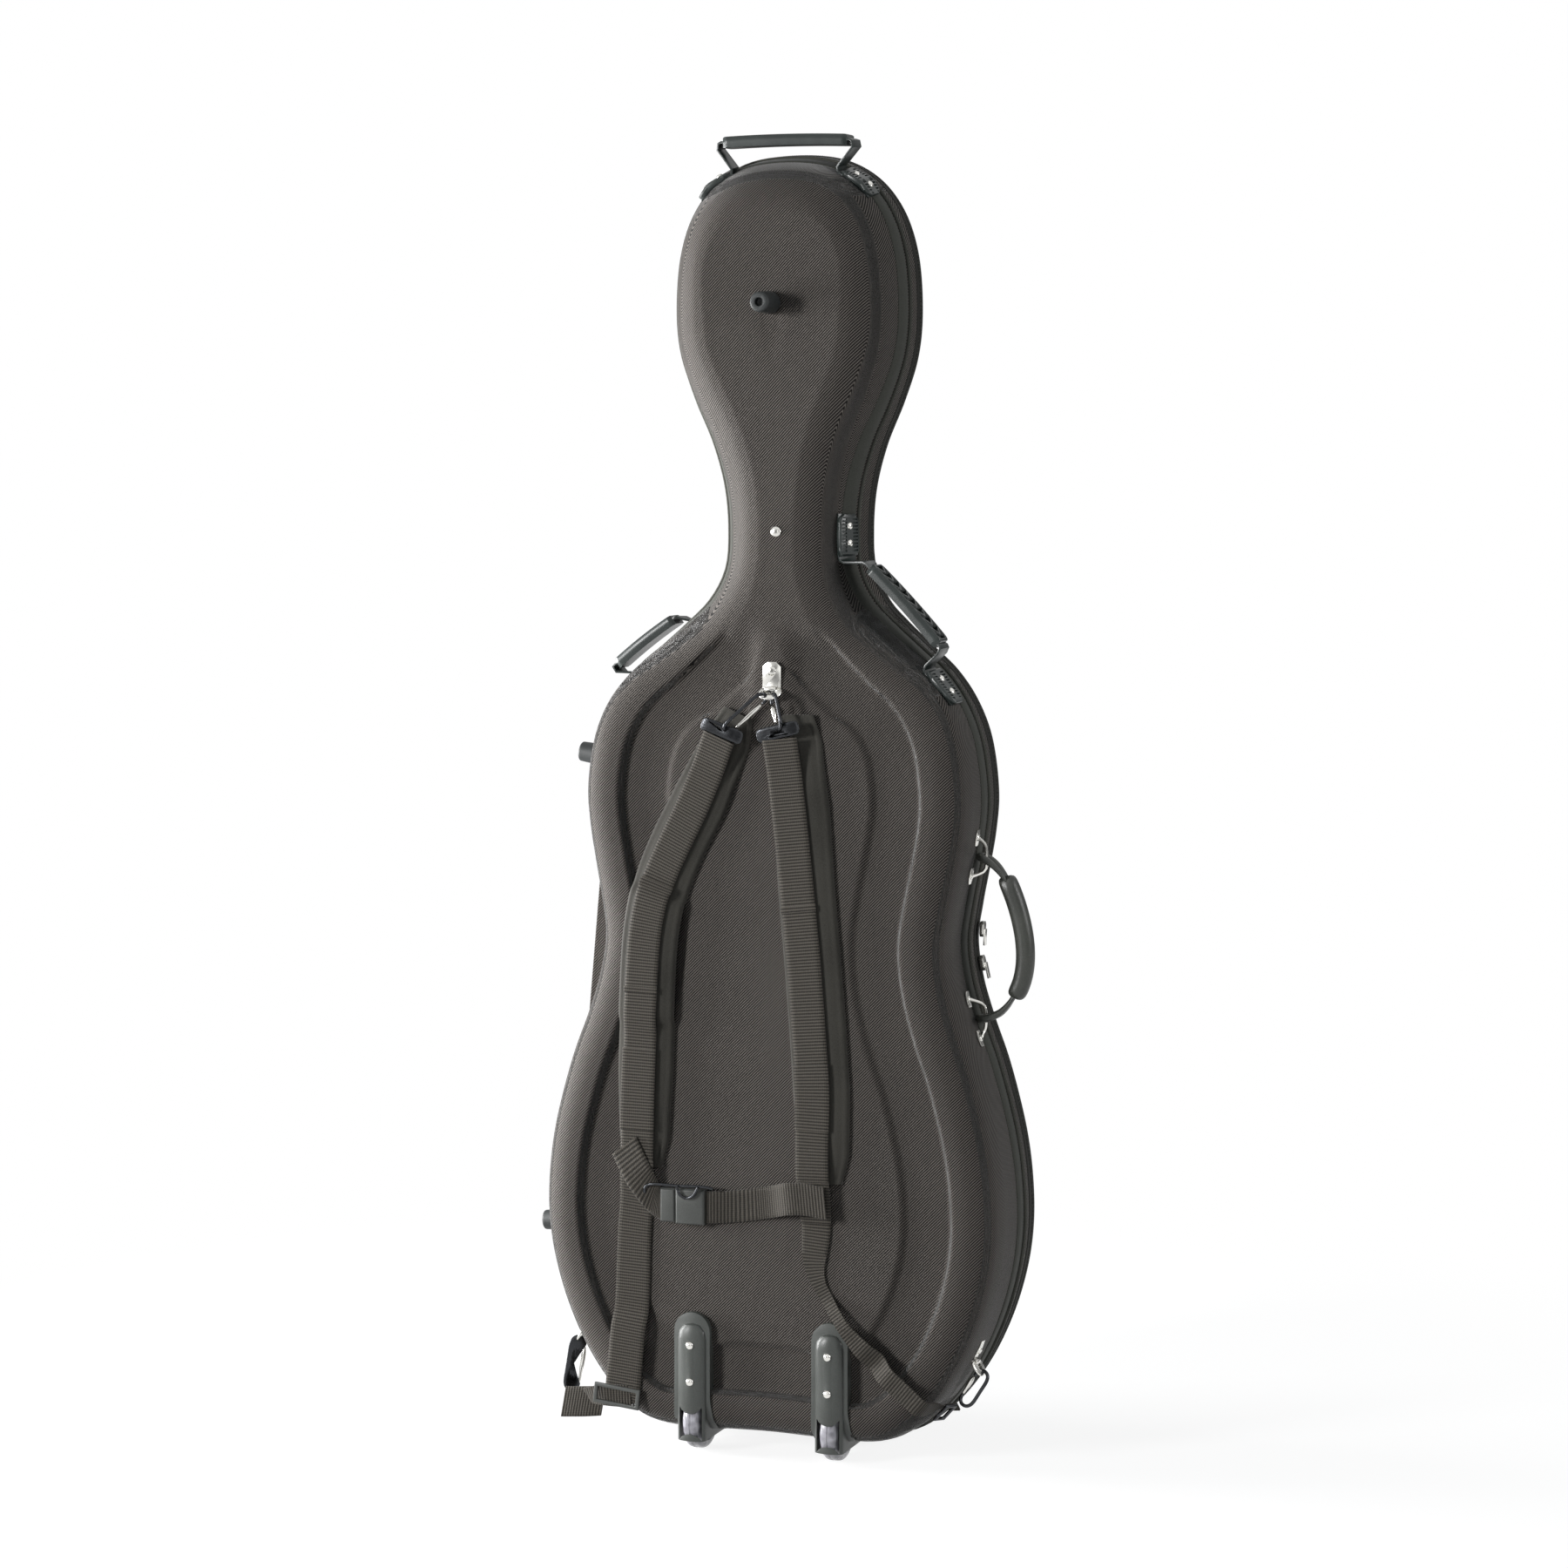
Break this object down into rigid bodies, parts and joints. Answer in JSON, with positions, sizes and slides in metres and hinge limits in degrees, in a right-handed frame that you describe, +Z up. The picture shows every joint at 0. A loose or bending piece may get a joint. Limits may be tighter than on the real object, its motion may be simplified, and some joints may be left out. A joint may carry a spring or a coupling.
{
  "type": "cello hard case",
  "caption": "Moulded hard case for a cello, with a hinged lid, rolling wheels, carry handles and padded back straps with a buckled chest belt.",
  "frame": {"origin": "centre of the bounding box's footprint, on the floor that the wheels and lid feet stand on", "axes": "+Z up along the case from its wheels to its head; -Y out of the moulded back with the wheels and straps, +Y out of the lid; +X to the zip side with the side handle, -X to the hinge side"},
  "size_m": [0.5416, 0.2876, 1.377],
  "materials": {
    "cover": "ballistic polyester with a fine diagonal weave, matt",
    "edge": "plain dark edge cloth, matt",
    "plush": "short pile over foam",
    "webbing": "ribbed polyester webbing",
    "padding": "foam padding under smooth cloth",
    "moulded": "moulded plastic, satin",
    "grey_plastic": "injection-moulded grey plastic, satin",
    "rubber": "moulded rubber, matt",
    "tyre": "clear grey polyurethane",
    "chrome": "polished nickel plate",
    "dark_steel": "black-plated steel wire",
    "leather": "smooth dark leather"
  },
  "bodies": {
    "back": {"back_shell": "cover", "back_lining": "plush", "back_zip_tape": "edge", "back_piping": "edge", "back_hinge_web": "cover", "left_wheel_housing": "moulded", "right_wheel_housing": "moulded", "left_wheel_axle": "chrome", "right_wheel_axle": "chrome", "head_stud": "rubber", "upper_side_stud": "rubber", "lower_side_stud": "rubber", "neck_screw": "chrome", "top_handle_strap": "webbing", "top_handle_grip": "moulded", "shoulder_handle_strap": "webbing", "shoulder_handle_grip": "moulded", "upper_handle_bracket": "chrome", "lower_handle_bracket": "chrome", "strap_plate": "chrome", "strap_ring": "chrome", "left_lower_plate": "chrome", "left_lower_ring": "chrome", "right_lower_plate": "chrome", "right_lower_ring": "chrome", "left_strap_ring": "dark_steel", "right_strap_ring": "dark_steel", "left_top_hook": "dark_steel", "right_top_hook": "dark_steel", "left_bottom_hook": "dark_steel", "right_bottom_hook": "dark_steel", "left_strap_pad": "padding", "right_strap_pad": "padding", "left_strap_webbing": "webbing", "right_strap_webbing": "webbing", "left_adjuster": "grey_plastic", "right_adjuster": "dark_steel", "buckle_socket": "grey_plastic", "buckle_plug": "grey_plastic", "chest_belt": "webbing", "neck_cradle": "plush", "body_rest": "plush"},
    "lid": {"lid_shell": "cover", "lid_lining": "plush", "lid_zip_tape": "edge", "lid_hinge_web": "cover", "left_lid_foot": "rubber", "right_lid_foot": "rubber", "lid_handle_strap": "webbing", "lid_handle_grip": "moulded"},
    "left_wheel": {"left_wheel": "tyre"},
    "right_wheel": {"right_wheel": "tyre"},
    "side_handle": {"side_handle_core": "leather", "side_handle_sleeve": "leather"},
    "upper_slider": {"upper_zip_slider": "chrome"},
    "lower_slider": {"lower_zip_slider": "chrome"},
    "left_top_gate": {"left_top_gate": "chrome"},
    "right_top_gate": {"right_top_gate": "chrome"},
    "left_bottom_gate": {"left_bottom_gate": "chrome"},
    "right_bottom_gate": {"right_bottom_gate": "chrome"}
  },
  "joints": [
    {"name": "lid_hinge", "type": "hinge", "parent": "back", "child": "lid", "pos_m": [-0.26297, -0.0062, 0.248], "axis": [0.0905, 0, 0.9959], "range_deg": [0, 110]},
    {"name": "left_wheel_spin", "type": "hinge", "parent": "back", "child": "left_wheel", "pos_m": [-0.07795, -0.1072, 0.032], "axis": [1, 0, 0], "continuous": true},
    {"name": "right_wheel_spin", "type": "hinge", "parent": "back", "child": "right_wheel", "pos_m": [0.07505, -0.1072, 0.032], "axis": [1, 0, 0], "continuous": true},
    {"name": "side_handle_swing", "type": "hinge", "parent": "back", "child": "side_handle", "pos_m": [0.21855, -0.0542, 0.55], "axis": [0, 0, 1], "range_deg": [-50, 50]},
    {"name": "upper_slider_travel", "type": "hinge", "parent": "back", "child": "upper_slider", "pos_m": [0.34355, -0.0062, 0.541], "axis": [0, 1, 0], "range_deg": [0, 14]},
    {"name": "lower_slider_travel", "type": "hinge", "parent": "back", "child": "lower_slider", "pos_m": [0.34355, -0.0062, 0.541], "axis": [0, 1, 0], "range_deg": [-14, 0]},
    {"name": "left_top_gate_pivot", "type": "hinge", "parent": "back", "child": "left_top_gate", "pos_m": [-0.0332, -0.11478, 0.76685], "axis": [0.6322, -0.5305, -0.5647], "range_deg": [0, 20], "stiffness_Nm_per_rad": 0.02},
    {"name": "right_top_gate_pivot", "type": "hinge", "parent": "back", "child": "right_top_gate", "pos_m": [0.00906, -0.11498, 0.7728], "axis": [0.7649, 0.6418, 0.0553], "range_deg": [0, 20], "stiffness_Nm_per_rad": 0.02},
    {"name": "left_bottom_gate_pivot", "type": "hinge", "parent": "back", "child": "left_bottom_gate", "pos_m": [-0.22803, -0.08187, 0.0525], "axis": [0.5, -0.866, 0.0084], "range_deg": [0, 12], "stiffness_Nm_per_rad": 0.02},
    {"name": "right_bottom_gate_pivot", "type": "hinge", "parent": "back", "child": "right_bottom_gate", "pos_m": [0.20707, -0.08797, 0.0786], "axis": [0.0954, 0.9081, -0.4077], "range_deg": [0, 20], "stiffness_Nm_per_rad": 0.02}
  ]
}
